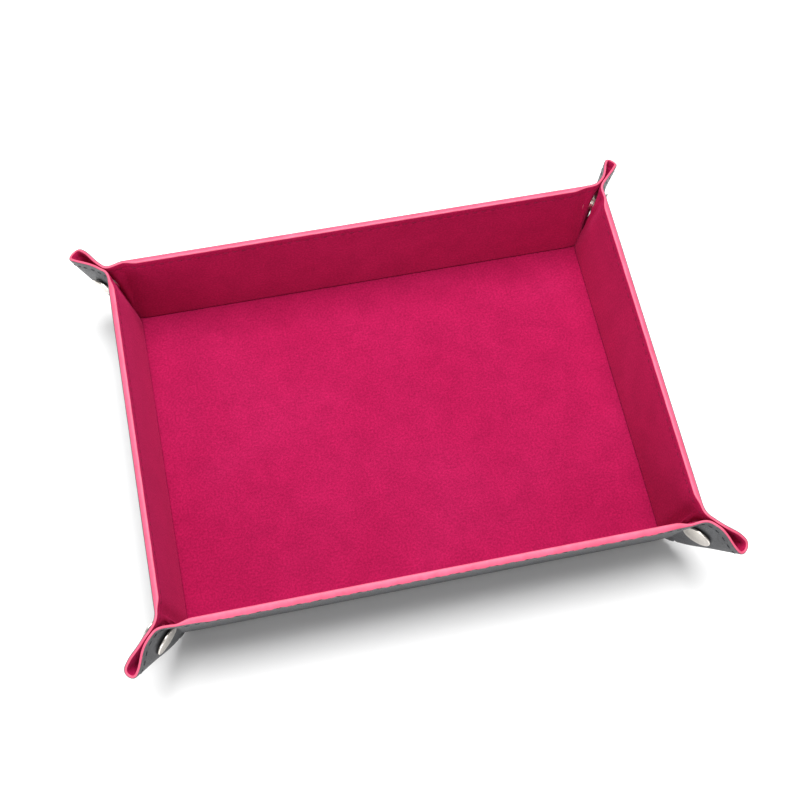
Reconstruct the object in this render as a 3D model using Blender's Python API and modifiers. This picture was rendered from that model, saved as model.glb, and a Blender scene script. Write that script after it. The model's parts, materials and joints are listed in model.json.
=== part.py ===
"""Folding dice tray: a leather skin and a velvet lining around five stiff boards.

The four walls fold up along the edges of the floor. At each corner the spare leather between two walls
is pinched outward into an ear, and a snap fastener holds the ear shut. Undo the snaps and the tray
lies flat. The model is the tray with its walls up, standing on its floor at z = 0, centred on the origin.

Every fold is a straight line in the neutral plane, half way between leather and lining where there is no
board. Each corner is folded like this, measured as angles about the corner where two fold lines meet:
wall end -> GUSSET panel -> RIDGE strip -> the diagonal, where it meets the strip from the other wall.
"""

from math import acos, asin, atan2, cos, hypot, pi, radians, sin, sqrt, tan

import bpy
from mathutils import Matrix, Vector

# Driving dimensions, in metres and radians
FOLD_X = 0.202                 # between the left and right wall folds
FOLD_Y = 0.144                 # between the front and back wall folds
WALL = 0.039                   # from a wall's fold to its rim
CORNER_RADIUS = 0.029          # rounding of the flat sheet's corners
RISE = radians(79.5)           # how far a wall stands up from flat
WALL_END = radians(4)          # the wall's leather runs this far past its end
RIDGE = radians(5)             # width of a ridge strip
GUSSET = radians(45) - WALL_END - RIDGE

# Layers, as heights above the neutral plane
SKIN = (-0.0007, -0.00015)
BOARD = (0.00015, 0.00115)
LINING_ON_BOARD = (0.00145, 0.0020)
LINING_ALONE = (0.00015, 0.0007)
BOTH_LAYERS = (-0.0007, 0.0007)
FLOOR_HEIGHT = -SKIN[0]        # the neutral plane's height above the table

# Clearances
LAYER_GAP = 0.0003             # between pieces that touch
FOLD_GAP = 0.0005              # from a fold line to the leather beside it
BESIDE_CAP = 0.0010            # from the gusset's fold line to the wall's leather
LINING_BACK = 0.0020           # from a wall fold to the lining, which meets its neighbour there
BOARD_BACK = 0.0030            # from a wall fold to the board
RIDGE_FOLD_BACK = 0.0010       # from the ridge strip's fold to the pieces that close over it
GUSSET_SKIN_START = 0.005      # from the corner to the gusset's leather
GUSSET_LINING_START = 0.0115   # from the corner to the gusset's lining
RIDGE_START = 0.021            # from the corner to the ridge strip

# Snap fastener
SNAP_REACH = 0.0305            # from the corner to the snap's centre
SNAP_ANGLE = radians(16.5)     # from the wall's end to the snap's centre
CAP_RADIUS = 0.00625
CAP_THICKNESS = 0.0009
RIVET_RADIUS = 0.0013
RIVET_TIP = 0.0016             # height of the rivet's end above the neutral plane
RIVET_HOLE = 0.0017
SOCKET_RADIUS = 0.0045
SOCKET_TIP = 0.0026
SOCKET_MOUTH = 0.0027
STUD_FLANGE_RADIUS = 0.0042
STUD_FLANGE_TIP = 0.0015
STUD_POST_RADIUS = 0.0021
STUD_TIP = 0.0035
TURN_STEPS = 24
ARC_STEPS = 10

SIDES = ("back", "left", "front", "right")      # each a quarter turn on from the one before

LOOKS = {
    "leather": ((0.055, 0.055, 0.060, 1.0), 0.50, 0.0),
    "lining": ((0.500, 0.012, 0.100, 1.0), 0.95, 0.0),
    "board": ((0.300, 0.260, 0.210, 1.0), 0.90, 0.0),
    "nickel": ((0.760, 0.710, 0.650, 1.0), 0.28, 1.0),
}


def clear_scene():
    for thing in list(bpy.data.objects):
        bpy.data.objects.remove(thing, do_unlink=True)


def make_material(part_name, look):
    color, roughness, metallic = LOOKS[look]
    material = bpy.data.materials.new(part_name)
    material.use_nodes = True
    shader = material.node_tree.nodes["Principled BSDF"]
    shader.inputs["Base Color"].default_value = color
    shader.inputs["Roughness"].default_value = roughness
    shader.inputs["Metallic"].default_value = metallic
    return material


def add_frame(name, parent, matrix):
    """An empty that a folding piece hangs from, with its origin and one axis on the fold."""
    frame = bpy.data.objects.new(name, None)
    frame.empty_display_size = 0.01
    tray.objects.link(frame)
    frame.parent = parent
    frame.matrix_local = matrix
    return frame


def add_plate(name, look, outline, layer, frame, hole=None):
    """A flat sheet with the given outline, between the two heights of its layer."""
    low, high = layer
    curve = bpy.data.curves.new(name, "CURVE")
    curve.dimensions = "2D"
    curve.fill_mode = "BOTH"
    curve.extrude = (high - low) / 2
    for ring in (outline, hole):
        if ring is None:
            continue
        spline = curve.splines.new("POLY")
        spline.points.add(len(ring) - 1)
        for point, (x, y) in zip(spline.points, ring):
            point.co = (x, y, 0.0, 1.0)
        spline.use_cyclic_u = True
    curve.materials.append(make_material(name, look))
    plate = bpy.data.objects.new(name, curve)
    tray.objects.link(plate)
    plate.parent = frame
    plate.location = (0.0, 0.0, (low + high) / 2)
    return plate


def add_turned(name, look, profile, frame):
    """A turned piece: a profile of (radius, height) points, running down its outer side, swept about Z.

    A profile that starts off the axis is a ring, and closes on its first point.
    """
    mesh = bpy.data.meshes.new(name)
    points = [(radius, 0.0, height) for radius, height in profile]
    edges = [(i, i + 1) for i in range(len(points) - 1)]
    if profile[0][0] > 0.0:
        edges.append((len(points) - 1, 0))
    mesh.from_pydata(points, edges, [])
    mesh.materials.append(make_material(name, look))
    piece = bpy.data.objects.new(name, mesh)
    tray.objects.link(piece)
    piece.parent = frame
    screw = piece.modifiers.new("turn", "SCREW")
    screw.steps = TURN_STEPS
    screw.render_steps = TURN_STEPS
    screw.use_merge_vertices = True
    screw.merge_threshold = 0.00001
    screw.use_smooth_shade = True
    return piece


def rectangle(half_x, half_y):
    return [(-half_x, -half_y), (half_x, -half_y), (half_x, half_y), (-half_x, half_y)]


def wall_skin_outline(half):
    """The wall's leather: its ends slope outward to the gussets' folds."""
    back = BESIDE_CAP / cos(WALL_END)

    def end(y):
        return half + y * tan(WALL_END) - back

    low = FOLD_GAP
    return [(-end(low), low), (end(low), low), (end(WALL), WALL), (-end(WALL), WALL)]


def wall_inner_outline(half, back):
    """A wall's board or lining, clear of the next wall at its ends and of the floor below."""
    end = half - LINING_BACK
    return [(-end, back), (end, back), (end, WALL - LAYER_GAP), (-end, WALL - LAYER_GAP)]


def sheet_reach(angle):
    """From the corner to the flat sheet's edge, at an angle from the wall's end."""
    straight = WALL / cos(angle)
    centre = WALL - CORNER_RADIUS
    if straight * sin(angle) <= centre:
        return straight
    along = centre * (sin(angle) + cos(angle))
    return along + sqrt(along ** 2 - 2 * centre ** 2 + CORNER_RADIUS ** 2)


def wedge_outline(first, last, back_first, back_last, start, hand):
    """A wedge of the sheet between two fold lines, drawn with the first fold along +Y.

    It keeps back from each fold line by its own distance and begins at start from the corner.
    """
    def place(reach, angle):
        return (hand * reach * sin(angle - first), reach * cos(angle - first))

    inner_first = first + asin(back_first / start)
    inner_last = last - asin(back_last / start)
    outer_first = first + asin(back_first / sheet_reach(first))
    outer_last = last - asin(back_last / sheet_reach(last))
    ring = [place(start, inner_last), place(start, inner_first)]
    for step in range(ARC_STEPS + 1):
        angle = outer_first + (outer_last - outer_first) * step / ARC_STEPS
        ring.append(place(sheet_reach(angle), angle))
    return ring


def circle(centre, radius, steps=TURN_STEPS):
    return [(centre[0] + radius * cos(2 * pi * i / steps), centre[1] + radius * sin(2 * pi * i / steps))
            for i in range(steps)]


def solve_corner():
    """Fold angles of a standing corner: wall to gusset, and gusset to ridge strip.

    The ridge lies on the diagonal plane with the two strips square to it, and the angle between the
    gusset's two folds stays GUSSET. That fixes how high the ridge stands, and both folds follow.
    """
    lean = cos(WALL_END) * cos(RISE)
    out = cos(RIDGE) * (sin(WALL_END) + lean) / sqrt(2)
    up = cos(RIDGE) * cos(WALL_END) * sin(RISE)
    reach = cos(GUSSET) - sin(RIDGE) * (lean - sin(WALL_END)) / sqrt(2)
    height = atan2(up, out) - acos(reach / hypot(out, up))

    # The back right corner, seen from the back wall: X along the wall, Y away from the floor
    across = Vector((-1.0, 1.0, 0.0)) / sqrt(2)
    ridge = Vector((cos(height) / sqrt(2), cos(height) / sqrt(2), sin(height)))
    strip_fold = cos(RIDGE) * ridge + sin(RIDGE) * across

    wall = Matrix.Rotation(RISE, 3, "X") @ Matrix.Rotation(-WALL_END, 3, "Z")
    seen = wall.inverted() @ strip_fold
    gusset_turn = atan2(-seen.z, seen.x)
    gusset = wall @ Matrix.Rotation(gusset_turn, 3, "Y") @ Matrix.Rotation(-GUSSET, 3, "Z")
    seen = gusset.inverted() @ ridge
    strip_turn = atan2(-seen.z, seen.x)
    return gusset_turn, strip_turn


def corner_name(side, hand):
    neighbour = SIDES[(side - hand) % 4]
    pair = sorted((SIDES[side], neighbour), key=("back", "front", "left", "right").index)
    return "_".join(pair)


def add_cap(name, frame):
    """The visible cap: a shallow dome with a rolled rim, and the rivet behind it."""
    back = SKIN[0] - LAYER_GAP
    face = back - CAP_THICKNESS
    add_turned(name, "nickel", [
        (0.0, RIVET_TIP),
        (RIVET_RADIUS, RIVET_TIP),
        (RIVET_RADIUS, back),
        (CAP_RADIUS * 0.96, back),
        (CAP_RADIUS, back - 0.00010),
        (CAP_RADIUS, face + 0.00050),
        (CAP_RADIUS * 0.90, face + 0.00022),
        (CAP_RADIUS * 0.60, face + 0.00005),
        (0.0, face),
    ], frame)


def add_socket(name, frame):
    """The ring that grips the stud, seated on the lining."""
    seat = LINING_ALONE[1] + LAYER_GAP / 2
    add_turned(name, "nickel", [
        (SOCKET_RADIUS - 0.0006, SOCKET_TIP),
        (SOCKET_RADIUS, SOCKET_TIP - 0.0004),
        (SOCKET_RADIUS, seat),
        (RIVET_HOLE, seat),
        (RIVET_HOLE, seat + 0.0004),
        (SOCKET_MOUTH, seat + 0.0006),
        (SOCKET_MOUTH, SOCKET_TIP),
    ], frame)


def add_stud(name, frame):
    """The round post that enters the socket, hollow where the rivet holds it."""
    seat = LINING_ALONE[1] + LAYER_GAP / 2
    add_turned(name, "nickel", [
        (0.0, STUD_TIP),
        (STUD_POST_RADIUS * 0.75, STUD_TIP - 0.0001),
        (STUD_POST_RADIUS, STUD_TIP - 0.0005),
        (STUD_POST_RADIUS * 0.92, STUD_FLANGE_TIP),
        (STUD_FLANGE_RADIUS, STUD_FLANGE_TIP - 0.0002),
        (STUD_FLANGE_RADIUS, seat),
        (RIVET_HOLE, seat),
        (RIVET_HOLE, RIVET_TIP + LAYER_GAP),
        (0.0, RIVET_TIP + LAYER_GAP),
    ], frame)


def add_gusset(side, hand, half, wall_frame):
    """One side of a corner ear: the gusset panel, its half of the snap, and the ridge strip."""
    corner = corner_name(side, hand)
    name = f"{corner}_gusset_{SIDES[side]}"
    gusset_turn, strip_turn = solve_corner()

    to_fold = Matrix.Translation((hand * half, 0, 0)) @ Matrix.Rotation(-hand * WALL_END, 4, "Z")
    frame = add_frame(f"{name}_fold", wall_frame, to_fold @ Matrix.Rotation(hand * gusset_turn, 4, "Y"))
    first = WALL_END
    last = WALL_END + GUSSET
    angle = SNAP_ANGLE - first
    centre = (hand * SNAP_REACH * sin(angle), SNAP_REACH * cos(angle))
    hole = circle(centre, RIVET_HOLE)
    skin = wedge_outline(first, last, FOLD_GAP, FOLD_GAP, GUSSET_SKIN_START, hand)
    add_plate(f"{name}_leather", "leather", skin, SKIN, frame, hole)
    lining = wedge_outline(first, last, FOLD_GAP, RIDGE_FOLD_BACK, GUSSET_LINING_START, hand)
    add_plate(f"{name}_lining", "lining", lining, LINING_ALONE, frame, hole)

    snap = add_frame(f"{name}_snap", frame, Matrix.Translation((*centre, 0.0)))
    add_cap(f"{corner}_snap_cap_{SIDES[side]}", snap)
    if side % 2 == 0:
        add_socket(f"{corner}_snap_socket", snap)
    else:
        add_stud(f"{corner}_snap_stud", snap)

    to_strip = Matrix.Rotation(-hand * GUSSET, 4, "Z") @ Matrix.Rotation(hand * strip_turn, 4, "Y")
    strip_frame = add_frame(f"{corner}_ridge_{SIDES[side]}_fold", frame, to_strip)
    strip = wedge_outline(last, radians(45), RIDGE_FOLD_BACK, LAYER_GAP, RIDGE_START, hand)
    add_plate(f"{corner}_ridge_{SIDES[side]}", "leather", strip, BOTH_LAYERS, strip_frame)


def add_wall(side, floor_frame):
    """One wall with its board, hinged on the floor's edge, and the two gussets at its ends."""
    name = f"{SIDES[side]}_wall"
    half, out = (FOLD_X / 2, FOLD_Y / 2) if side % 2 == 0 else (FOLD_Y / 2, FOLD_X / 2)
    stand = Matrix.Rotation(side * pi / 2, 4, "Z") @ Matrix.Translation((0, out, 0))
    frame = add_frame(f"{name}_fold", floor_frame, stand @ Matrix.Rotation(RISE, 4, "X"))
    add_plate(f"{name}_leather", "leather", wall_skin_outline(half), SKIN, frame)
    add_plate(f"{name}_board", "board", wall_inner_outline(half, BOARD_BACK), BOARD, frame)
    add_plate(f"{name}_lining", "lining", wall_inner_outline(half, LINING_BACK), LINING_ON_BOARD, frame)
    for hand in (1, -1):
        add_gusset(side, hand, half, frame)


def add_floor():
    frame = add_frame("floor", None, Matrix.Translation((0, 0, FLOOR_HEIGHT)))
    half_x = FOLD_X / 2
    half_y = FOLD_Y / 2
    layers = (("leather", SKIN, FOLD_GAP), ("board", BOARD, BOARD_BACK),
              ("lining", LINING_ON_BOARD, LINING_BACK))
    for look, layer, back in layers:
        add_plate(f"base_{look}", look, rectangle(half_x - back, half_y - back), layer, frame)
    return frame


clear_scene()
tray = bpy.data.collections.new("folding_dice_tray")
bpy.context.scene.collection.children.link(tray)
floor = add_floor()
for number in range(len(SIDES)):
    add_wall(number, floor)
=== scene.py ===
"""Looks for the folding dice tray: leather skin, velvet lining, painted edge, stitching and snaps.

The tray is one soft sheet of leather and velvet with five boards inside. sheet_point() says where every
point of that sheet lies when the tray stands: flat on the floor, up the walls, and round each pinched
corner ear. Each piece of leather, velvet, paint and thread is made on it, with its thickness along the
sheet's normal.
Lengths are in millimetres until a mesh is made.
"""

import json
from math import atan2, cos, degrees, pi, radians, sin, sqrt, tan

import bpy
import numpy as np
from mathutils import Matrix, Vector

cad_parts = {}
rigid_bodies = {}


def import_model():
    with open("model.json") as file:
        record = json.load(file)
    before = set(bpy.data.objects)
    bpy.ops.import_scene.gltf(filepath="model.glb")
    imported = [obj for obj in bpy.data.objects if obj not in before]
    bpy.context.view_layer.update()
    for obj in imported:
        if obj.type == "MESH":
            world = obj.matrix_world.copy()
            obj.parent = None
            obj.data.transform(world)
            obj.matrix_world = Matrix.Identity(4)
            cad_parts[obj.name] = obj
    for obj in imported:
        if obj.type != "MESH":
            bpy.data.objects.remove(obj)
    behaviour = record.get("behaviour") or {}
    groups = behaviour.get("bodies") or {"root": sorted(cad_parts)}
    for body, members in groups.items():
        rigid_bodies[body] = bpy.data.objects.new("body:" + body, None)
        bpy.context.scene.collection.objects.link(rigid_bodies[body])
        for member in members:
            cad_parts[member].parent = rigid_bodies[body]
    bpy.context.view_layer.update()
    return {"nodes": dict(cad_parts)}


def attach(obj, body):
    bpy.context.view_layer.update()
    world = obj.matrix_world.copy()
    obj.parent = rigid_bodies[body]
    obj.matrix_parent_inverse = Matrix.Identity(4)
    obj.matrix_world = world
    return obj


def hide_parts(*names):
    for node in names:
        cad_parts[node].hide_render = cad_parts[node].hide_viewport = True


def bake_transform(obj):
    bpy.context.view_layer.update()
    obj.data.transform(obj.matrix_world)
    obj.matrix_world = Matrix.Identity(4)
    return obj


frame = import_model()

MM = 0.001

# The CAD's dimensions
HALF_X = 101.0                  # from the centre to the left and right wall folds
HALF_Y = 72.0                   # from the centre to the front and back wall folds
WALL = 39.0                     # from a wall's fold to its rim
CORNER_RADIUS = 29.0            # rounding of the flat sheet's corners
RISE = radians(79.5)            # how far a wall stands up from flat
GUSSET_ANGLE = 4.0              # degrees: the gusset's fold, from the wall's end
FLOOR_HEIGHT = 0.7              # the neutral plane's height above the table

# Heights above the neutral plane
SKIN_OUT = -0.7
SKIN_IN = -0.15
LINING_ON_BOARD = 2.0
LINING_ALONE = 0.7

LINING_THICK = 0.5
BOARD_EASE = 6.5                # the lining takes this far to come down from a board to the leather

# Folds
BEND = 2.5                      # the leather's bend reaches this far either side of a fold line
BEND_DEPTH = 0.902              # how far the bend cuts the corner off
MITRE = 1.0 / tan(RISE / 2)     # height over distance along the plane that halves a fold
MITRE_GAP = 0.06                # the linings keep this far from that plane
GROOVE = 0.85                   # the floor's and the wall's lining each end this far from the fold line

# Ears: degrees on a sphere about the corner, down along the diagonal plane and away from it
START = (0.0, 7.40)             # the wall's end
START_HEIGHT = degrees(atan2(sin(RISE), cos(RISE) / sqrt(2)))   # of the wall's end above the floor
EAR_REACH = 40.0                # from the corner to the rim, about
EARS = {                        # the pinch, the loop, and how far along the loop ends
    (1, 1): ((10.0, 1.10), (26.2, 3.0), 29.2),
    (-1, 1): ((8.0, 1.10), (28.2, 3.8), 32.0),
    (-1, -1): ((15.8, 1.10), (31.8, 3.35), 35.6),
    (1, -1): ((13.2, 1.10), (30.2, 3.9), 34.1),
}
SWINGS = {                      # how far the rim leans out of the diagonal plane, towards the front or
    (1, 1): (0.3, 2.2),         # back wall's side: at the pinch and at the loop
    (-1, 1): (-2.6, -2.2),
    (-1, -1): (-1.6, -0.1),
    (1, -1): (-1.7, -0.95),
}

# Snaps
SNAP_REACH = 27.4               # from the corner
SNAP_ANGLE = 18.7               # from the wall's end
SNAP_GAP = 1.75                 # from the diagonal plane to the sheet, at the snap
SNAP_FLAT = 10.6                # the sheet has its own curve again this far from the snap,
SNAP_EASE = 4.2                 # after easing out over this distance
BELOW_SNAP = 0.48               # distances down from the snap, towards the corner, count less
CAP_TILT = radians(7)           # the cap hangs a little open at its top

# Stitches
STITCH_INSET = 2.8
STITCH_PITCH = 3.9
STITCH_LENGTH = 2.7
THREAD_RADIUS_IN = 0.19         # on the velvet, which it sinks into
THREAD_RADIUS_OUT = 0.26

QUARTERS = ("back", "left", "front", "right")   # each a quarter turn on from the one before
CORNER_SIGNS = ((1, 1), (-1, 1), (-1, -1), (1, -1))


def smooth(t):
    t = np.clip(t, 0.0, 1.0)
    return t * t * (3.0 - 2.0 * t)


def past_fold(x, y):
    """How far a flat point is past the fold line on its side, in X and in Y: negative on the floor."""
    return np.abs(x) - HALF_X, np.abs(y) - HALF_Y


def side_signs(x, y):
    return np.where(x < 0, -1.0, 1.0), np.where(y < 0, -1.0, 1.0)


def soft_min(a, b, width):
    return 0.5 * (a + b - np.sqrt((a - b) ** 2 + width * width))


def unit(v):
    return v / np.maximum(np.linalg.norm(v, axis=-1, keepdims=True), 1e-12)


# ---------------- the standing sheet

def bezier(p0, p1, p2, p3, steps=60):
    t = np.linspace(0.0, 1.0, steps)[:, None]
    p0, p1, p2, p3 = map(np.array, (p0, p1, p2, p3))
    return (1 - t) ** 3 * p0 + 3 * (1 - t) ** 2 * t * p1 + 3 * (1 - t) * t * t * p2 + t ** 3 * p3


def ear_profile(pinch, loop, end):
    """Half of an ear, as points (along, away) against the share of the sheet's 45 degrees."""
    lead = 0.62 * pinch[0] / sqrt(2)                # handle lengths of the three curves
    run = 0.42 * (loop[0] - pinch[0])
    round_tip = 0.58
    past_loop = loop[0] + round_tip * (end - loop[0]) + 0.4
    path = np.concatenate([
        bezier(START, (START[0] + lead, START[1] - lead), (pinch[0] / 2, pinch[1]), pinch),
        bezier(pinch, (pinch[0] + run, pinch[1]), (loop[0] - run, loop[1]), loop)[1:],
        bezier(loop, (past_loop, loop[1]), (end, round_tip * loop[1]), (end, 0.0))[1:],
    ])
    # a few points are mirrored past the diagonal, so that the sheet's slope is right at the ridge
    ridge = len(path) - 1
    path = np.concatenate([path, path[ridge - 1:ridge - 20:-1] * np.array([1.0, -1.0])])
    length = np.concatenate([[0.0], np.cumsum(np.linalg.norm(np.diff(path, axis=0), axis=1))])
    return length * 45.0 / length[ridge], path


PROFILES = {signs: ear_profile(*shape) for signs, shape in EARS.items()}


def sheet_reach(angle):
    """From the corner to the flat sheet's edge, at an angle in degrees from the wall's end."""
    a = np.radians(angle)
    centre = WALL - CORNER_RADIUS
    along = centre * (np.sin(a) + np.cos(a))
    curved = along + np.sqrt(np.maximum(along ** 2 - 2 * centre ** 2 + CORNER_RADIUS ** 2, 0.0))
    straight = WALL / np.cos(a)
    return np.where(straight * np.sin(a) <= centre, straight, curved)


def round_snap(r, angle):
    """1 where the sheet lies flat round the snap and some way below it, easing to 0."""
    a = np.radians(angle - SNAP_ANGLE)
    past = r * np.cos(a) - SNAP_REACH
    distance = np.hypot(r * np.sin(a), np.where(past < 0, past * BELOW_SNAP, past))
    return smooth((SNAP_FLAT - distance) / SNAP_EASE)


def ear_point(r, angle, signs):
    """A point of the sheet in a corner's wedge, from the corner: towards (x, y, z) of the wall along X."""
    share, path = PROFILES[signs]
    height = np.radians(START_HEIGHT - np.interp(angle, share, path[:, 0]))
    off = np.radians(np.interp(angle, share, path[:, 1]))
    aside = r * np.sin(off)
    # the two halves stand apart round the snap, by half as much at the corner
    full_gap_from = SNAP_REACH - 4.0
    gap = SNAP_GAP * np.minimum(0.5 + 0.5 * r / full_gap_from, 1.0)
    aside = aside + (gap - aside) * round_snap(r, angle) * smooth(angle / 1.8)
    out = r * np.cos(off) * np.cos(height)
    up = r * np.cos(off) * np.sin(height)
    return (out - aside) / sqrt(2), (out + aside) / sqrt(2), up


def swing_shift(x, y):
    """How far an ear's point leans out of its diagonal plane."""
    sx, sy = side_signs(x, y)
    px, py = past_fold(x, y)
    wedge = (px > 0) & (py > 0)
    r = np.hypot(px, py)
    angle = np.degrees(np.arctan2(np.minimum(px, py), np.maximum(np.maximum(px, py), 1e-9)))
    shift = np.zeros(x.shape)
    for signs, (pinch, loop) in SWINGS.items():
        here = wedge & (sx == signs[0]) & (sy == signs[1])
        # it sets in slowly from the wall's end, but at once beside the snap
        to_pinch = smooth(angle / 14.0)
        to_pinch = to_pinch + (smooth(angle / 4.5) - to_pinch) * round_snap(r, angle)
        to_loop = smooth((angle - 17.0) / 25.0)
        lean = pinch * to_pinch + (loop - pinch) * to_loop
        shift = np.where(here, lean * r / EAR_REACH, shift)
    return np.stack([-sx * shift, sy * shift, np.zeros(x.shape)], axis=-1) / sqrt(2)


def bend_rise(t):
    """How far the leather's bend stands off the sharp fold, at a distance from the fold line."""
    return BEND_DEPTH * np.clip(1.0 - t / BEND, 0.0, 1.0) ** 2


def sheet_point(x, y, bent=True):
    """Where the neutral plane's point (x, y) of the flat sheet lies when the tray stands.

    With bent, the folds are rounded, as the leather's are. Without it they are sharp.
    """
    x, y = np.broadcast_arrays(np.asarray(x, float), np.asarray(y, float))
    sx, sy = side_signs(x, y)
    px, py = past_fold(x, y)
    ox, oy, oz = px.copy(), py.copy(), np.zeros_like(px)
    # walls
    wall_y = (py > 0) & (px <= 0)
    oy = np.where(wall_y, py * cos(RISE), oy)
    oz = np.where(wall_y, py * sin(RISE), oz)
    wall_x = (px > 0) & (py <= 0)
    ox = np.where(wall_x, px * cos(RISE), ox)
    oz = np.where(wall_x, px * sin(RISE), oz)
    # ears
    wedge = (px > 0) & (py > 0)
    r = np.hypot(px, py)
    swap = px > py
    first, second = np.where(swap, py, px), np.where(swap, px, py)
    angle = np.degrees(np.arctan2(first, np.maximum(second, 1e-9)))
    for signs in CORNER_SIGNS:
        here = wedge & (sx == signs[0]) & (sy == signs[1])
        if here.any():
            ex, ey, ez = ear_point(r, angle, signs)
            ox = np.where(here, np.where(swap, ey, ex), ox)
            oy = np.where(here, np.where(swap, ex, ey), oy)
            oz = np.where(here, ez, oz)
    if bent:
        # distance to each fold line, which ends at the corner
        to_y = np.hypot(np.maximum(px, 0.0), py)
        to_x = np.hypot(np.maximum(py, 0.0), px)
        half = RISE / 2
        rise_y, rise_x = bend_rise(to_y), bend_rise(to_x)
        oy = oy - rise_y * sin(half)
        ox = ox - rise_x * sin(half)
        oz = oz + (rise_y + rise_x) * cos(half)
    standing = np.stack([sx * (HALF_X + ox), sy * (HALF_Y + oy), FLOOR_HEIGHT + oz], axis=-1)
    return standing + swing_shift(x, y)


def sheet_normal(x, y, bent=True):
    step = 0.02
    along = sheet_point(x + step, y, bent) - sheet_point(x - step, y, bent)
    across = sheet_point(x, y + step, bent) - sheet_point(x, y - step, bent)
    return unit(np.cross(along, across))


def flat_of(side, a, b):
    """Sheet coordinates of a point in a wall's own: a along its fold, b outward from it."""
    out = wall_half(side + 1) + b
    turn = side * pi / 2
    c, s = round(cos(turn)), round(sin(turn))
    return a * c - out * s, a * s + out * c


def wall_half(side):
    """Half of a wall's length, which is also how far the walls next to it are from the centre."""
    return HALF_X if side % 2 == 0 else HALF_Y


def edge_inset(x, y):
    """Distance from the sheet's edge, inward."""
    px, py = past_fold(x, y)
    centre = WALL - CORNER_RADIUS
    curved = CORNER_RADIUS - np.hypot(np.maximum(px - centre, 0.0), np.maximum(py - centre, 0.0))
    straight = WALL - np.maximum(px, py)
    return np.where((px > centre) & (py > centre), curved, straight)


def near_corner(x, y):
    """The leather's share of its thickness: down to a quarter at a corner, where four folds meet."""
    return 0.25 + 0.75 * smooth(np.hypot(*past_fold(x, y)) / 5.0)


def stitch_dent(inset, width):
    """1 on the stitch line, falling off to its sides."""
    return np.exp(-((inset - STITCH_INSET) / width) ** 2)


def on_board(share):
    """The velvet's height on a share of 1, easing down beside the board to a share of 0."""
    return LINING_ALONE + (LINING_ON_BOARD - LINING_ALONE) * smooth(share)


def clear_of_next_wall(near, far):
    """How high the velvet may stand on a wall before it meets the wall round the corner."""
    return np.maximum((-far + near * cos(RISE) - 0.07) / sin(RISE), 0.1)


def lining_height(x, y):
    """The velvet's height above the neutral plane."""
    px, py = past_fold(x, y)
    near, far = np.maximum(px, py), np.minimum(px, py)
    on_floor = near <= 0
    from_fold = np.where(on_floor, -near, near)
    board = on_board((1.0 - far) / BOARD_EASE)
    height = np.where(on_floor, LINING_ON_BOARD, np.minimum(board, clear_of_next_wall(near, far)))
    height = soft_min(height, (from_fold - MITRE_GAP) * MITRE, 0.35)
    # in the groove it lies on the leather's bend
    groove = bend_rise(np.maximum(from_fold, 0.0)) * cos(RISE / 2) + 0.65
    height = np.where(on_floor | (far <= 0), np.maximum(height, np.minimum(groove, 1.0)), board)
    inset = edge_inset(x, y)
    rounded = 0.22 * np.clip(1.0 - inset / 0.9, 0.0, 1.0) ** 2
    return height - rounded - 0.13 * stitch_dent(inset, 0.55)


def skin_height(x, y):
    """The leather's outer face, below the neutral plane."""
    inset = edge_inset(x, y)
    rounded = 0.10 * np.clip(1.0 - (inset + 0.2) / 0.7, 0.0, 1.0) ** 2
    return (SKIN_OUT + rounded + 0.09 * stitch_dent(inset, 0.5)) * near_corner(x, y)


def keep_side(points, x, y, least):
    """Moves points back to their own side of a corner's diagonal plane, at least this far from it."""
    sx, sy = side_signs(x, y)
    px, py = past_fold(x, y)
    own = np.where(py >= px, 1.0, -1.0)
    upright = points - swing_shift(x, y)
    aside = own * ((sy * upright[..., 1] - HALF_Y) - (sx * upright[..., 0] - HALF_X)) / sqrt(2)
    off_floor = np.maximum(px, py) > 0
    push = np.where(off_floor, np.maximum(least - aside, 0.0), 0.0) * own / sqrt(2)
    moved = points.copy()
    moved[..., 0] -= sx * push
    moved[..., 1] += sy * push
    return moved


def lining_face(x, y, height):
    points = sheet_point(x, y, False) + height[..., None] * sheet_normal(x, y, False)
    return keep_side(points, x, y, 0.03)


def skin_face(x, y, height):
    return sheet_point(x, y) + height[..., None] * sheet_normal(x, y)


# ---------------- meshes

def finish_mesh(name, points, faces, flat, material):
    mesh = bpy.data.meshes.new(name)
    mesh.from_pydata((points * MM).tolist(), [], faces)
    mesh.validate()
    mesh.polygons.foreach_set("use_smooth", [True] * len(mesh.polygons))
    mesh.set_sharp_from_angle(angle=radians(48))
    attribute = mesh.attributes.new("flat", "FLOAT_VECTOR", "POINT")
    attribute.data.foreach_set("vector", (flat * MM).astype(np.float32).ravel())
    mesh.materials.append(material)
    thing = bpy.data.objects.new(name, mesh)
    bpy.context.scene.collection.objects.link(thing)
    return thing


def patch_faces(rows, cols, base, flip):
    faces = []
    for i in range(rows - 1):
        for j in range(cols - 1):
            a = base + i * cols + j
            quad = (a, a + 1, a + cols + 1, a + cols)
            faces.append(quad[::-1] if flip else quad)
    return faces


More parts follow.
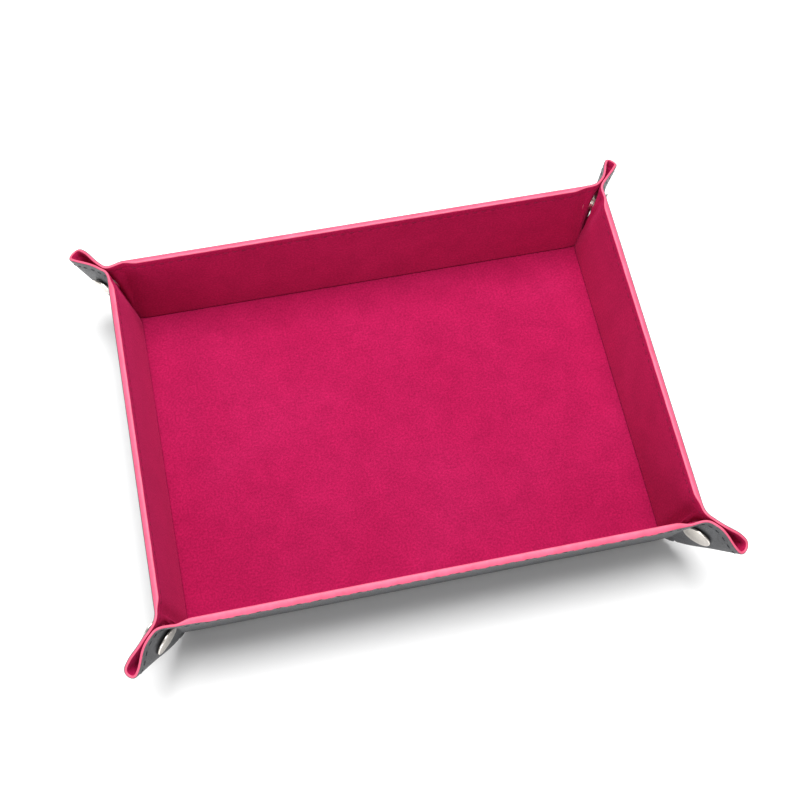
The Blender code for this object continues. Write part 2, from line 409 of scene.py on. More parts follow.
def add_slab(name, upper, lower, x, y, material):
    """A closed slab between two grids of points."""
    rows, cols = x.shape
    count = rows * cols
    points = np.concatenate([upper.reshape(-1, 3), lower.reshape(-1, 3)])
    spread = np.cross(upper[1:, :-1] - upper[:-1, :-1], upper[:-1, 1:] - upper[:-1, :-1])
    flip = float(((upper - lower)[:-1, :-1] * spread).sum()) > 0
    faces = patch_faces(rows, cols, 0, flip) + patch_faces(rows, cols, count, not flip)
    order = np.arange(count).reshape(rows, cols)
    ring = np.concatenate([order[0], order[1:, -1], order[-1, -2::-1], order[-2:0:-1, 0]]).tolist()
    for k, a in enumerate(ring):
        b = ring[(k + 1) % len(ring)]
        quad = (a, a + count, b + count, b)
        faces.append(quad[::-1] if flip else quad)
    flat = np.stack([x, y, np.zeros_like(x)], axis=-1).reshape(-1, 3)
    both = np.concatenate([flat, flat - np.array([0.0, 0.0, 1.0])])
    return finish_mesh(name, points, faces, both, material)


def add_tubes(name, tubes, material):
    """Several closed tubes in one mesh. Each is its points, as (ring, place in the ring, 3), and their
    flat coordinates, in the same order."""
    points, flats, faces, base = [], [], [], 0
    for rings, flat in tubes:
        n, m = rings.shape[:2]
        points.append(rings.reshape(-1, 3))
        flats.append(flat.reshape(-1, 3))
        centre = rings.mean(axis=1)
        outward = rings[0, 0] - centre[0]
        turn = np.cross(rings[0, 1] - rings[0, 0], centre[1] - centre[0])
        flip = float(outward @ turn) < 0
        for i in range(n - 1):
            for j in range(m):
                a, b = base + i * m + j, base + i * m + (j + 1) % m
                quad = (a, b, b + m, a + m)
                faces.append(quad[::-1] if flip else quad)
        first = tuple(base + j for j in range(m))
        last = tuple(base + (n - 1) * m + j for j in range(m))
        faces.append(first if flip else first[::-1])
        faces.append(last[::-1] if flip else last)
        base += n * m
    return finish_mesh(name, np.concatenate(points), faces, np.concatenate(flats), material)


def blend_between(thing):
    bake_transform(thing)


# ---------------- materials

def new_material(name):
    material = bpy.data.materials.new(name)
    material.use_nodes = True
    tree = material.node_tree
    return material, tree, tree.nodes["Principled BSDF"]


def set_inputs(node, **values):
    """Sets or links a node's inputs: an underscore stands for a space in an input's name."""
    for name, value in values.items():
        socket = node.inputs[name.replace("_", " ")]
        if isinstance(value, bpy.types.NodeSocket):
            node.id_data.links.new(value, socket)
        else:
            socket.default_value = value


def sheet_coordinates(tree):
    node = tree.nodes.new("ShaderNodeAttribute")
    node.attribute_name = "flat"
    return node.outputs["Vector"]


def object_coordinates(tree):
    return tree.nodes.new("ShaderNodeTexCoord").outputs["Object"]


def noise(tree, vector, scale, detail=4.0, roughness=0.6, distortion=0.0):
    node = tree.nodes.new("ShaderNodeTexNoise")
    set_inputs(node, Vector=vector, Scale=scale, Detail=detail, Roughness=roughness, Distortion=distortion)
    return node.outputs["Fac"]


def ramp(tree, factor, *stops):
    """A colour ramp: each stop is its position and its colour, or one value for a grey."""
    node = tree.nodes.new("ShaderNodeValToRGB")
    elements = node.color_ramp.elements
    while len(elements) < len(stops):
        elements.new(0.5)
    for element, (position, color) in zip(elements, stops):
        element.position = position
        element.color = (*color, 1.0) if len(color) == 3 else (color[0],) * 3 + (1.0,)
    set_inputs(node, Fac=factor)
    return node.outputs["Color"]


def mix(tree, kind, factor, a, b):
    node = tree.nodes.new("ShaderNodeMix")
    node.data_type = "RGBA"
    node.blend_type = kind
    a, b = ((*value, 1.0) if isinstance(value, tuple) else value for value in (a, b))
    set_inputs(node, Factor=factor, A=a, B=b)
    return node.outputs["Result"]


def bump(tree, height, strength, distance, below=None):
    node = tree.nodes.new("ShaderNodeBump")
    set_inputs(node, Height=height, Strength=strength, Distance=distance)
    if below is not None:
        set_inputs(node, Normal=below)
    return node.outputs["Normal"]


def painted_light_on_back_and_right_walls(tree, where):
    """1 on the back and right walls, else 0: the mask of the painted light that makes the velvet lighter
    there.
    """
    split = tree.nodes.new("ShaderNodeSeparateXYZ")
    set_inputs(split, Vector=where)
    sides = []
    for axis, fold in (("X", HALF_X), ("Y", HALF_Y)):
        step = tree.nodes.new("ShaderNodeMapRange")
        set_inputs(step, Value=split.outputs[axis], From_Min=(fold + 0.6) * MM, From_Max=(fold + 2.0) * MM)
        sides.append(step.outputs["Result"])
    either = tree.nodes.new("ShaderNodeMath")
    either.operation = "MAXIMUM"
    for side, socket in zip(sides, either.inputs):
        tree.links.new(side, socket)
    return either.outputs["Value"]


def velvet_material():
    material, tree, shader = new_material("velvet")
    where = sheet_coordinates(tree)
    cloud = noise(tree, where, 14.0, 6.0, 0.55, 0.6)
    brushed = noise(tree, where, 95.0, 4.0, 0.6, 0.4)
    pile = noise(tree, where, 2600.0, 3.0, 0.7)
    speck = noise(tree, where, 1150.0, 3.0, 0.75)
    color = ramp(tree, cloud, (0.28, (0.300, 0.0062, 0.051)), (0.50, (0.322, 0.0076, 0.058)),
                 (0.74, (0.346, 0.0096, 0.067)))
    nap = ramp(tree, brushed, (0.35, (0.85,)), (0.65, (1.09,)))
    fuzz = ramp(tree, speck, (0.38, (0.80,)), (0.64, (1.22,)))
    color = mix(tree, "MULTIPLY", 0.50, color, nap)
    color = mix(tree, "MULTIPLY", 0.95, color, fuzz)
    # painted light: the velvet on the back and right walls is made lighter than the lamps leave it
    color = mix(tree, "MULTIPLY", painted_light_on_back_and_right_walls(tree, where), color, (1.10, 1.12, 1.02))
    soft = bump(tree, brushed, 0.18, 0.0004)
    set_inputs(shader, Base_Color=color, Normal=bump(tree, pile, 0.45, 0.00025, soft),
               Roughness=0.92, Specular_IOR_Level=0.02,
               Sheen_Weight=0.36, Sheen_Roughness=0.45, Sheen_Tint=(1.0, 0.07, 0.26, 1.0))
    return material


def leather_material():
    material, tree, shader = new_material("leather")
    where = sheet_coordinates(tree)
    warp = noise(tree, where, 260.0, 3.0, 0.5)
    grain = tree.nodes.new("ShaderNodeTexVoronoi")
    grain.feature = "DISTANCE_TO_EDGE"
    set_inputs(grain, Scale=1250.0)
    set_inputs(grain, Vector=mix(tree, "LINEAR_LIGHT", 0.0012, where, warp))
    pebble = ramp(tree, grain.outputs["Distance"], (0.0, (0.0,)), (0.16, (0.85,)), (0.45, (1.0,)))
    tone = noise(tree, where, 60.0, 4.0, 0.6)
    color = ramp(tree, tone, (0.3, (0.060, 0.062, 0.068)), (0.7, (0.098, 0.100, 0.107)))
    color = mix(tree, "MULTIPLY", 0.55, color, pebble)
    gloss = ramp(tree, tone, (0.3, (0.42,)), (0.7, (0.56,)))
    rough = bump(tree, tone, 0.15, 0.0006)
    set_inputs(shader, Base_Color=color, Normal=bump(tree, pebble, 0.55, 0.00009, rough), Roughness=gloss,
               Specular_IOR_Level=0.55)
    return material


def edge_material():
    material, tree, shader = new_material("edge_coat")
    where = sheet_coordinates(tree)
    tone = noise(tree, where, 120.0, 4.0, 0.6)
    fine = noise(tree, where, 700.0, 3.0, 0.6)
    color = ramp(tree, tone, (0.30, (0.565, 0.058, 0.128)), (0.70, (0.650, 0.087, 0.172)))
    color = mix(tree, "MULTIPLY", 0.5, color, ramp(tree, fine, (0.3, (0.88,)), (0.6, (1.05,))))
    rough = bump(tree, tone, 0.35, 0.0003)
    set_inputs(shader, Base_Color=color, Normal=bump(tree, fine, 0.35, 0.00008, rough), Roughness=0.48)
    return material


def thread_material(name, dark, light):
    material, tree, shader = new_material(name)
    where = sheet_coordinates(tree)
    tone = noise(tree, where, 1800.0, 2.0, 0.6)
    color = ramp(tree, tone, (0.35, dark), (0.65, light))
    set_inputs(shader, Base_Color=color, Normal=bump(tree, tone, 0.5, 0.0001), Roughness=0.7,
               Specular_IOR_Level=0.15)
    return material


def nickel_material():
    material, tree, shader = new_material("nickel")
    where = object_coordinates(tree)
    tone = noise(tree, where, 180.0, 4.0, 0.6)
    scratch = noise(tree, where, 2400.0, 2.0, 0.5, 1.5)
    color = ramp(tree, tone, (0.3, (0.70, 0.655, 0.60)), (0.7, (0.82, 0.775, 0.72)))
    gloss = ramp(tree, scratch, (0.3, (0.24,)), (0.7, (0.36,)))
    set_inputs(shader, Base_Color=color, Normal=bump(tree, scratch, 0.06, 0.00005), Roughness=gloss,
               Metallic=1.0)
    return material


def board_material():
    material, tree, shader = new_material("fibreboard")
    where = object_coordinates(tree)
    fibre = noise(tree, where, 420.0, 6.0, 0.75, 0.6)
    color = ramp(tree, fibre, (0.3, (0.20, 0.165, 0.125)), (0.7, (0.36, 0.31, 0.25)))
    set_inputs(shader, Base_Color=color, Normal=bump(tree, fibre, 0.4, 0.0002), Roughness=0.9)
    return material


VELVET = velvet_material()
LEATHER = leather_material()
EDGE = edge_material()
THREADS = {
    "inside": thread_material("thread_inside", (0.130, 0.004, 0.026), (0.290, 0.010, 0.062)),
    "outside": thread_material("thread_outside", (0.018, 0.018, 0.021), (0.060, 0.060, 0.066)),
}
NICKEL = nickel_material()
BOARD = board_material()


# ---------------- folds in the standing tray

PINCH, LOOP = 1, 2              # the two patches of an ear's half


def corner_signs(side, hand):
    x, y = flat_of(side, hand * wall_half(side), 0.0)
    return (1 if x > 0 else -1, 1 if y > 0 else -1)


def corner_name(signs):
    return ("front" if signs[1] < 0 else "back") + "_" + ("left" if signs[0] < 0 else "right")


def corner_at(signs):
    return np.array([signs[0] * HALF_X, signs[1] * HALF_Y, FLOOR_HEIGHT])


def blend_gusset(thing, side, signs):
    """Bakes the piece's placement into its mesh: a piece from the wall to its ear, across the gusset's fold.
    """
    blend_between(thing)


def blend_ridge(thing, side, signs):
    """Bakes the piece's placement into its mesh: a piece from the ear's flat to its ridge strip, across a
    ray on the round end of the loop.
    """
    blend_between(thing)


EAR_PARTS = ((PINCH, "pinch", blend_gusset), (LOOP, "loop", blend_ridge))


# ---------------- sheet patches

# Rows: NEAR_RIM by their distance from the rim, closer round the stitch line, and INNER by their share of
# the way to INNER_END from the corner, or from a wall's fold
NEAR_RIM = (6.2, 5.4, 4.7, 4.1, 3.7, 3.35, 3.05, 2.8, 2.55, 2.25, 1.9, 1.4, 0.95, 0.6, 0.3, 0.0)
INNER = (0.02, 0.05, 0.10, 0.16, 0.23, 0.31, 0.39, 0.47, 0.55, 0.63, 0.71, 0.79, 0.87, 0.94, 1.0)
INNER_END = 7.0                 # from the rim
LINING_START = 2                # rows that the pinch's lining leaves out at the corner,
LOOP_START = 3                  # that the loop leaves out,
WALL_START = 3                  # and that a wall leaves out, for the rows of its fold

COLUMNS = {PINCH: 23, LOOP: 27}
ENDS = 10.0                     # a wall's columns are closer together over this length at each end


def row_reach(reach):
    """Distances from the corner, or from the fold on a wall, for each row of a patch."""
    inner = [share * (reach - INNER_END) for share in INNER]
    return np.array(inner + [reach - inset for inset in NEAR_RIM])


def over_rim(grid, past=0.10):
    """The grid with one more row, this far past the rim, for the leather's own edge under the paint."""
    return np.concatenate([grid, grid[-1:] + (grid[-1:] - grid[-2:-1]) / NEAR_RIM[-2] * past])


def wall_columns(half):
    ends = np.array([0.0, 0.4, 0.8, 1.2, 1.6, 2.0, 2.4, 2.9, 3.6, 5.0, 7.0])
    middle = np.linspace(-(half - ENDS), half - ENDS, max(12, int(half / 4)))
    return np.concatenate([-(half - ends), middle, (half - ends)[::-1]])


def split_angle(share):
    """Where an ear's half changes from its pinch to its loop: further on, the nearer to the corner."""
    least, width = 21.0, 3.6
    widened = np.degrees(np.arcsin(np.clip(width / (WALL * share), 0.0, 1.0)))
    return GUSSET_ANGLE + np.maximum(least, widened)


def ear_grid(side, hand, part):
    """Flat coordinates of one patch of an ear: rows from the corner to the rim."""
    t = np.linspace(0.0, 1.0, COLUMNS[part])
    if part == LOOP:
        t = 1.0 - (1.0 - t) ** 1.3      # closer towards the ridge
    shares = row_reach(EAR_REACH) / EAR_REACH
    xs, ys = [], []
    for i in range(0 if part == PINCH else LOOP_START, len(shares)):
        split = float(split_angle(shares[i]))
        low, high = (0.0, min(split, 45.0)) if part == PINCH else (min(split, 44.0), 45.0)
        angle = low + (high - low) * t
        r = np.array([row_reach(reach)[i] for reach in sheet_reach(angle)])
        a = hand * (wall_half(side) + r * np.sin(np.radians(angle)))
        b = r * np.cos(np.radians(angle))
        # stay a hair inside the half, so that the sheet's branches don't flip
        a = np.where(angle <= 0.0, a + hand * 1e-6, a)
        x, y = flat_of(side, a, b)
        xs.append(x)
        ys.append(y)
    return np.array(xs), np.array(ys)


def add_floor_pieces():
    near_edge = np.array([0.0, 0.15, 0.3, 0.45, 0.6, 0.75, 0.9, 1.05, 1.25, 1.55, 2.0, 3.0, 5.0])

    def lines(half, first):
        """Grid lines across the floor, from this far inside one fold to as far inside the other."""
        inner = half - first - near_edge
        middle = np.linspace(-inner[-1], inner[-1], max(10, int(half / 5)))[1:-1]
        return np.concatenate([-inner, middle, inner[::-1]])

    x, y = np.meshgrid(lines(HALF_X, GROOVE), lines(HALF_Y, GROOVE))
    height = lining_height(x, y)
    upper = lining_face(x, y, height)
    lower = upper - np.array([0.0, 0.0, LINING_THICK])
    lining = add_slab("base_velvet", upper, lower, x, y, VELVET)
    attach(lining, "base")
    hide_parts("base_lining")

    x, y = np.meshgrid(lines(HALF_X, BEND), lines(HALF_Y, BEND))
    skin = add_slab("base_skin", skin_face(x, y, np.full_like(x, SKIN_IN)),
                    skin_face(x, y, np.full_like(x, SKIN_OUT)), x, y, LEATHER)
    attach(skin, "base")
    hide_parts("base_leather")


def add_wall_pieces(side):
    name = QUARTERS[side]
    half = wall_half(side)
    rows = np.concatenate([np.linspace(-BEND, BEND, 11), row_reach(WALL)[WALL_START:]])
    columns = wall_columns(half)
    b, a = np.meshgrid(rows, columns, indexing="ij")
    a = a * (1.0 + np.minimum(b, 0.0) / half)
    x, y = flat_of(side, a, b)
    skin = add_slab(f"{name}_wall_skin", skin_face(x, y, np.full_like(x, SKIN_IN)),
                    skin_face(x, y, skin_height(x, y)), x, y, LEATHER)
    blend_between(skin)
    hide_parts(f"{name}_wall_leather")

    # the lining comes down the wall into the groove, and is tucked under the floor's lining
    dive = GROOVE + np.array([0.0, 0.1, 0.2, 0.3, 0.4, 0.5, 0.6, 0.7, 0.8, 0.9, 1.05, 1.25, 1.55, 2.05])
    rows = np.concatenate([dive, row_reach(WALL)[WALL_START:]])
    b, a = np.meshgrid(rows, columns, indexing="ij")
    x, y = flat_of(side, a, b)
    height = lining_height(x, y)
    upper = lining_face(x, y, height)
    above_skin, least_thick = 0.15, 0.05
    under = np.maximum(height - LINING_THICK, np.minimum(above_skin, height - least_thick))
    lower = lining_face(x, y, under)
    tuck, tuck_height, tuck_thick = np.array([[1.5], [0.88]]), np.array([[0.80], [0.92]]), 0.3
    tx, ty = flat_of(side, np.clip(columns, tuck - half, half - tuck), -tuck)
    tucked = np.stack(np.broadcast_arrays(tx, ty, FLOOR_HEIGHT + tuck_height), axis=-1)
    upper = np.concatenate([tucked, upper])
    lower = np.concatenate([tucked - np.array([0.0, 0.0, tuck_thick]), lower])
    x, y = np.concatenate([tx, x]), np.concatenate([ty, y])
    lining = add_slab(f"{name}_wall_velvet", upper, lower, x, y, VELVET)
    blend_between(lining)
    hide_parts(f"{name}_wall_lining")

    bead = add_bead(f"{name}_wall_edge", *rim_line(side))
    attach(bead, f"{name}_wall")


def add_ear_pieces(side, hand):
    signs = corner_signs(side, hand)
    corner, wall = corner_name(signs), QUARTERS[side]
    for part, word, blend in EAR_PARTS:
        x, y = ear_grid(side, hand, part)
        stem = f"{corner}_{word}_{wall}"
        ox, oy = over_rim(x), over_rim(y)
        skin = add_slab(f"{stem}_skin", skin_face(ox, oy, SKIN_IN * near_corner(ox, oy)),
                        skin_face(ox, oy, skin_height(ox, oy)), ox, oy, LEATHER)
        if part == PINCH:
            x, y = x[LINING_START:], y[LINING_START:]
        height = lining_height(x, y)
        if part == PINCH:
            height = ease_from_wall(x, y, height)
        upper = lining_face(x, y, height)
        lower = lining_face(x, y, np.minimum(height - 0.1, 0.10))
        lining = add_slab(f"{stem}_velvet", upper, lower, x, y, VELVET)
        for thing, slot in ((skin, "leather"), (lining, "lining")):
            blend(thing, side, signs)
        if part == PINCH:
            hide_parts(f"{corner}_gusset_{wall}_leather")
            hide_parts(f"{corner}_gusset_{wall}_lining")
        else:
            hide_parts(f"{corner}_ridge_{wall}")
        bead = add_bead(f"{stem}_edge", x[-1], y[-1])
        blend(bead, side, signs)


def ease_from_wall(x, y, height):
    """Meets the wall's lining at the wall's end, where the board's edge lifts it."""
    px, py = past_fold(x, y)
    near, far = np.maximum(px, py), np.minimum(px, py)
    full = on_board(1.0 / BOARD_EASE)
    mitred = np.maximum((near - MITRE_GAP) * MITRE, 0.1)
    start = np.minimum(np.minimum(full, clear_of_next_wall(near, 0.0)), mitred)
    return height - (full - start) * smooth(1.0 - far / 1.5)


# ---------------- painted edge

def rim_line(side):
    """A wall's rim in flat coordinates, in small steps for the uneven paint."""
    a, middle = wall_columns(wall_half(side)), wall_half(side) - ENDS
    at_ends = np.abs(a) > middle + 0.1
    a = np.sort(np.concatenate([a[at_ends], np.arange(-middle, middle + 0.1, 0.6)]))
    return flat_of(side, a, np.full_like(a, WALL))


def rim_outward(x, y):
    """Direction out of the sheet's edge, in the flat."""
    px, py = past_fold(x, y)
    centre = WALL - CORNER_RADIUS
    cx, cy = np.maximum(px - centre, 0.0), np.maximum(py - centre, 0.0)
    curved = (px > centre) & (py > centre)
    length = np.maximum(np.hypot(cx, cy), 1e-9)
    sx, sy = side_signs(x, y)
    return sx * np.where(curved, cx / length, px >= py), sy * np.where(curved, cy / length, py > px)


def overrun(x, y):
    """Along the front the paint runs over the leather's edge, unevenly."""
    ends = smooth((HALF_X - 2.0 - np.abs(x)) / 14.0) * (y < -HALF_Y)
    uneven = 0.50 + sum(swell * np.sin(x * pace + shift)
                        for swell, pace, shift in ((0.10, 0.83, 0.0), (0.08, 2.1, 1.3), (0.06, 4.7, 0.0)))
    return ends * uneven


BEAD_BULGE = 0.42               # the paint's round face bulges out this far,
BEAD_START = 0.10               # from this far inside the cut edge
BEAD_BACK = 0.35                # its back lies this far inside the cut edge, within the layers
BEAD_ANGLES = (90, 68, 45, 22, 0, -22, -45, -68, -90)


def add_bead(name, x, y):
    """The coat of edge paint: a rounded bead over the cut edges of both layers."""
    ox, oy = rim_outward(x, y)
    step = 0.25
    base = sheet_point(x, y)
    outward = unit(base - sheet_point(x - ox * step, y - oy * step))
    normal = sheet_normal(x - ox * step, y - oy * step)
    top = lining_height(x, y) + 0.10
    low = skin_height(x, y) + 0.22 - overrun(x, y)
    middle, tall = (top + low) / 2, (top - low) / 2
    wobble = 0.05 * np.sin(x * 0.9 + y * 0.7) + 0.04 * np.sin(x * 0.37 - y * 0.53 + 1.0)
    # each place in the ring: how far out, how high as a share, and the same height before rounding
    places = []
    for angle in BEAD_ANGLES:
        c, s = cos(radians(angle)), sin(radians(angle))
        places.append(((BEAD_BULGE + wobble) * c ** 0.8 - BEAD_START, np.sign(s) * abs(s) ** 0.85, s))
    places += [(np.full_like(x, -BEAD_BACK), s, s) for s in (-0.8, 0.8)]
    rings = [base + outward * out[:, None] + normal * (middle + tall * high)[:, None]
             for out, high, _ in places]
    flats = [np.stack([x, y, middle + tall * s], axis=-1) for _, _, s in places]
    rings, flats = np.stack(rings, axis=1), np.stack(flats, axis=1)
    flat_x, flat_y = (np.repeat(v[:, None], len(places), axis=1) for v in (x, y))
    return add_tubes(name, [(keep_side(rings, flat_x, flat_y, 0.04), flats)], EDGE)


# ---------------- stitching

def inset_line(side, hand, first, last):
    """The stitch line in flat coordinates on one ear's half, between two angles from the wall's end."""
    angle = np.linspace(first, last, 160)
    straight_to = 14.0              # from there the rim is round
    r = sheet_reach(angle) - STITCH_INSET / np.cos(np.radians(np.where(angle < straight_to, angle, 0.0)))
    a = hand * (wall_half(side) + r * np.sin(np.radians(angle)))
    return flat_of(side, a, r * np.cos(np.radians(angle)))


def add_stitches_on(name, x, y, first, side_word):
    """Stitches along a flat line, on the velvet or on the leather: the first one's middle is at first."""
    length = np.concatenate([[0.0], np.cumsum(np.hypot(np.diff(x), np.diff(y)))])
    # along a stitch: it rises in its middle, and dives and thins at its ends
    t = np.array([-0.5, -0.42, -0.25, 0.0, 0.25, 0.42, 0.5])
    rise = 0.10 - 0.36 * (2 * np.abs(t)) ** 4
    thin = 1.0 - 0.55 * (2 * np.abs(t)) ** 6
    wide, high = 1.15, 0.8          # its section is pressed flat
    tubes = []
    for middle in np.arange(first, length[-1] - STITCH_LENGTH / 2, STITCH_PITCH):
        along = middle + t * STITCH_LENGTH
        sx, sy = np.interp(along, length, x), np.interp(along, length, y)
        if side_word == "inside":
            centre, sign = lining_face(sx, sy, lining_height(sx, sy) + rise), 1.0
            normal, size = sheet_normal(sx, sy, False), THREAD_RADIUS_IN * thin
        else:
            centre, sign = skin_face(sx, sy, skin_height(sx, sy) - rise), -1.0
            normal, size = sheet_normal(sx, sy), THREAD_RADIUS_OUT * thin
        lateral = unit(np.cross(normal, unit(np.gradient(centre, axis=0))))
        rings, flats = [], []
        for q in range(6):
            phi = q * pi / 3
            rings.append(centre + lateral * (size * cos(phi))[:, None] * wide
                         + normal * sign * (size * sin(phi))[:, None] * high)
            flats.append(np.stack([sx, sy, np.full_like(sx, q * 0.2)], axis=-1))
        tubes.append((np.stack(rings, axis=1), np.stack(flats, axis=1)))
    return add_tubes(f"{name}_{side_word}", tubes, THREADS[side_word])


# Degrees from the wall's end between which the stitches of each patch of an ear lie
STITCHED = {PINCH: (0.5, 25.0), LOOP: (25.0, 44.6)}


def add_stitches():
    for side in range(4):
        half, name = wall_half(side), QUARTERS[side]
        a = np.array([-half + 0.2, half - 0.2])
        x, y = flat_of(side, a, np.full(2, WALL - STITCH_INSET))
        first = (2 * half % STITCH_PITCH) / 2 + STITCH_PITCH / 2
        for side_word in THREADS:
            thing = add_stitches_on(f"{name}_wall_stitches", x, y, first, side_word)
            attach(thing, f"{name}_wall")
        for hand in (1, -1):
            signs = corner_signs(side, hand)
            for part, word, blend in EAR_PARTS:
                x, y = inset_line(side, hand, *STITCHED[part])
                stem = f"{corner_name(signs)}_{word}_{name}_stitches"
                for side_word in THREADS:
                    thing = add_stitches_on(stem, x, y, STITCH_PITCH / 2, side_word)
                    blend(thing, side, signs)


# ---------------- snaps

def turned(name, profile, place, steps=48):
    """A turned piece, closed at both ends on its axis or as a ring."""
    points, rings, faces = [], [], []
    for radius, height in profile:
        turns = [2 * pi * k / steps for k in range(steps if radius > 0 else 1)]
        rings.append([len(points) + k for k in range(len(turns))])
        points += [(radius * cos(a), radius * sin(a), height) for a in turns]
    pairs = list(zip(rings, rings[1:]))
    if profile[0][0] > 0:
        pairs.append((rings[-1], rings[0]))
    for first, second in pairs:
        for k in range(steps):
            n = (k + 1) % steps
            face = (first[k % len(first)], first[n % len(first)],
                    second[n % len(second)], second[k % len(second)])
            faces.append(list(dict.fromkeys(face)))
    points = np.array(points)
    return finish_mesh(name, points @ place[0].T + place[1], faces, points, NICKEL)


def arc(radius, height, size, first, last, steps=5):
    """Points on a rounded edge of a turned profile, centred at (radius, height)."""
    return [(radius + size * cos(radians(a)), height + size * sin(radians(a)))
            for a in np.linspace(first, last, steps)]


def snap_place(side, hand):
    """Where a snap sits on an ear: its axes as columns, Z to the lining's side, and its centre."""
    signs = corner_signs(side, hand)
    angle, reach = radians(SNAP_ANGLE), SNAP_REACH
    a = hand * (wall_half(side) + reach * sin(angle))
    x, y = (np.array([v]) for v in flat_of(side, a, reach * cos(angle)))
    centre = sheet_point(x, y)[0]
    normal = sheet_normal(x, y)[0]
    along = unit(centre - corner_at(signs))
    along = unit(along - normal * (along @ normal))
    return np.stack([np.cross(along, normal), along, normal], axis=1), centre


CAP_CLEAR = 0.36                # behind the tilted cap, so that its low side doesn't sink in
CAP_THICK = 1.05
CAP_RIM = (5.75, 0.42)          # radius of the rim's middle, and of its round edge
FLANGE = 4.1                    # radius of the socket's and the stud's flange, to the middle of its edge


def cap_profile():
    """Flat behind, a rolled rim, a shallow ring inside it and a low dome."""
    back = SKIN_OUT - CAP_CLEAR
    face = back - CAP_THICK
    rim, edge = CAP_RIM
    return [(0.0, back), (rim - 0.2, back), *arc(rim, back - edge, edge, 90, 0)[1:],
            *arc(rim, back - edge - 0.13, edge, -20, -90), (5.25, face + 0.14), (5.0, face + 0.20),
            (4.6, face + 0.12), (3.4, face + 0.02), (1.8, face - 0.05), (0.0, face - 0.07)]


def socket_profile(seat):
    """A ring: its flange, and the rolled wall that grips the stud."""
    return [(1.4, seat), (FLANGE, seat), *arc(FLANGE, seat + 0.3, 0.3, -60, 90), (3.95, seat + 0.66),
            (3.75, seat + 1.0), *arc(3.45, seat + 1.05, 0.3, 0, 180), (2.75, seat + 0.95), (2.6, seat + 0.6),
            (2.7, seat + 0.35), (1.4, seat + 0.3)]


def stud_profile(seat):
    """Its flange, and the button with a waist and a dimple."""
    return [(0.0, seat), (FLANGE, seat), *arc(FLANGE, seat + 0.25, 0.25, -60, 90), (2.6, seat + 0.55),
            (2.05, seat + 0.75), (1.85, seat + 1.1), (2.0, seat + 1.5), (1.95, seat + 1.8),
            (1.6, seat + 2.05), (0.9, seat + 2.12), (0.75, seat + 1.9), (0.0, seat + 1.85)]


def add_snap(side, hand):
    corner, wall = corner_name(corner_signs(side, hand)), QUARTERS[side]
    axes, centre = snap_place(side, hand)
    tilted = np.array(Matrix.Rotation(-CAP_TILT, 3, axes[:, 0])) @ axes
    cap = turned(f"{corner}_cap_{wall}", cap_profile(), (tilted, centre))
    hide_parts(f"{corner}_snap_cap_{wall}")
    word, profile = ("socket", socket_profile) if side % 2 == 0 else ("stud", stud_profile)
    part = turned(f"{corner}_{word}", profile(LINING_ALONE - 0.02), (axes, centre))
    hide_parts(f"{corner}_snap_{word}")
    for thing in (cap, part):
        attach(thing, f"{corner}_gusset_{wall}")


# ---------------- build

add_floor_pieces()
for wall_side in range(4):
    add_wall_pieces(wall_side)
    for wall_hand in (1, -1):
        add_ear_pieces(wall_side, wall_hand)
        add_snap(wall_side, wall_hand)
add_stitches()

for node_name, node in frame["nodes"].items():
    if node_name.endswith("_board"):
        node.data.materials.clear()
        node.data.materials.append(BOARD)


# ---------------- set, light and camera

def add_set():
    mesh = bpy.data.meshes.new("ground")
    size = 6.0
    corners = [(x * size, y * size, 0) for x, y in ((-1, -1), (1, -1), (1, 1), (-1, 1))]
    mesh.from_pydata(corners, [], [(0, 1, 2, 3)])
    material, tree, shader = new_material("ground")
    where = object_coordinates(tree)
    tone = noise(tree, where, 3.0, 2.0, 0.5)
    color = ramp(tree, tone, (0.3, (0.94,)), (0.7, (0.95,)))
    set_inputs(shader, Base_Color=color, Roughness=0.9, Specular_IOR_Level=0.1)
    mesh.materials.append(material)
    ground = bpy.data.objects.new("ground", mesh)
    bpy.context.scene.collection.objects.link(ground)
    ground.location.z = -0.2 * MM


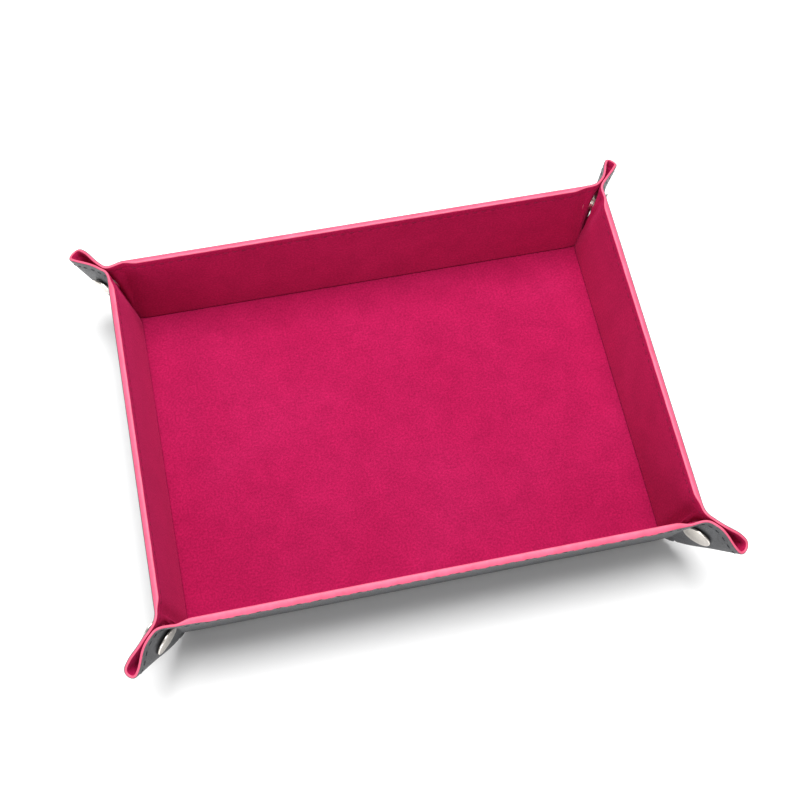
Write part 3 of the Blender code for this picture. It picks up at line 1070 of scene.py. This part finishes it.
def add_light(name, location, target, size, power):
    light = bpy.data.lights.new(name, "AREA")
    light.shape = "RECTANGLE"
    light.size, light.size_y = size
    light.energy = power
    lamp = bpy.data.objects.new(name, light)
    lamp.location = location
    lamp.rotation_mode = "QUATERNION"
    lamp.rotation_quaternion = (Vector(target) - Vector(location)).to_track_quat("-Z", "Y")
    bpy.context.scene.collection.objects.link(lamp)
    return lamp


def light_only_the_tray(lamp):
    """Leaves the ground out of a lamp's light, so that the lamp doesn't fill the tray's shadow."""
    lit = bpy.data.collections.new("lit_by_fill")
    for thing in bpy.context.scene.objects:
        if thing.type == "MESH" and thing.name != "ground":
            lit.objects.link(thing)
    lamp.light_linking.receiver_collection = lit


def add_world():
    world = bpy.data.worlds.new("studio")
    world.use_nodes = True
    set_inputs(world.node_tree.nodes["Background"], Color=(1.0, 1.0, 1.0, 1.0), Strength=0.385)
    bpy.context.scene.world = world


def add_camera():
    azimuth, elevation, roll = radians(-17.1336), radians(66.5274), radians(5.6723)
    distance = 0.5786
    target = Vector((0.00477, 0.01017, 0.0027))
    back = Vector((sin(azimuth) * cos(elevation), -cos(azimuth) * cos(elevation), sin(elevation)))
    right = Vector((cos(azimuth), sin(azimuth), 0.0))
    up = back.cross(right)
    side, top = right * cos(roll) + up * sin(roll), up * cos(roll) - right * sin(roll)
    data = bpy.data.cameras.new("camera")
    data.lens, data.sensor_width = 59.85, 36.0
    data.clip_start, data.clip_end = 0.01, 20.0
    camera = bpy.data.objects.new("camera", data)
    rotation = Matrix((side, top, back)).transposed()
    camera.matrix_world = Matrix.Translation(target + back * distance) @ rotation.to_4x4()
    bpy.context.scene.collection.objects.link(camera)
    bpy.context.scene.camera = camera


add_set()
add_light("key", location=(0.07, 0.34, 1.20), target=(0.0, 0.0, 0.0), size=(0.95, 0.95), power=27.0)
fill = add_light("fill", location=(-0.60, -1.00, 0.48), target=(0.0, 0.05, 0.02), size=(1.3, 0.7), power=9.8)
light_only_the_tray(fill)
add_world()
bpy.context.scene.view_settings.view_transform = "Standard"
add_camera()
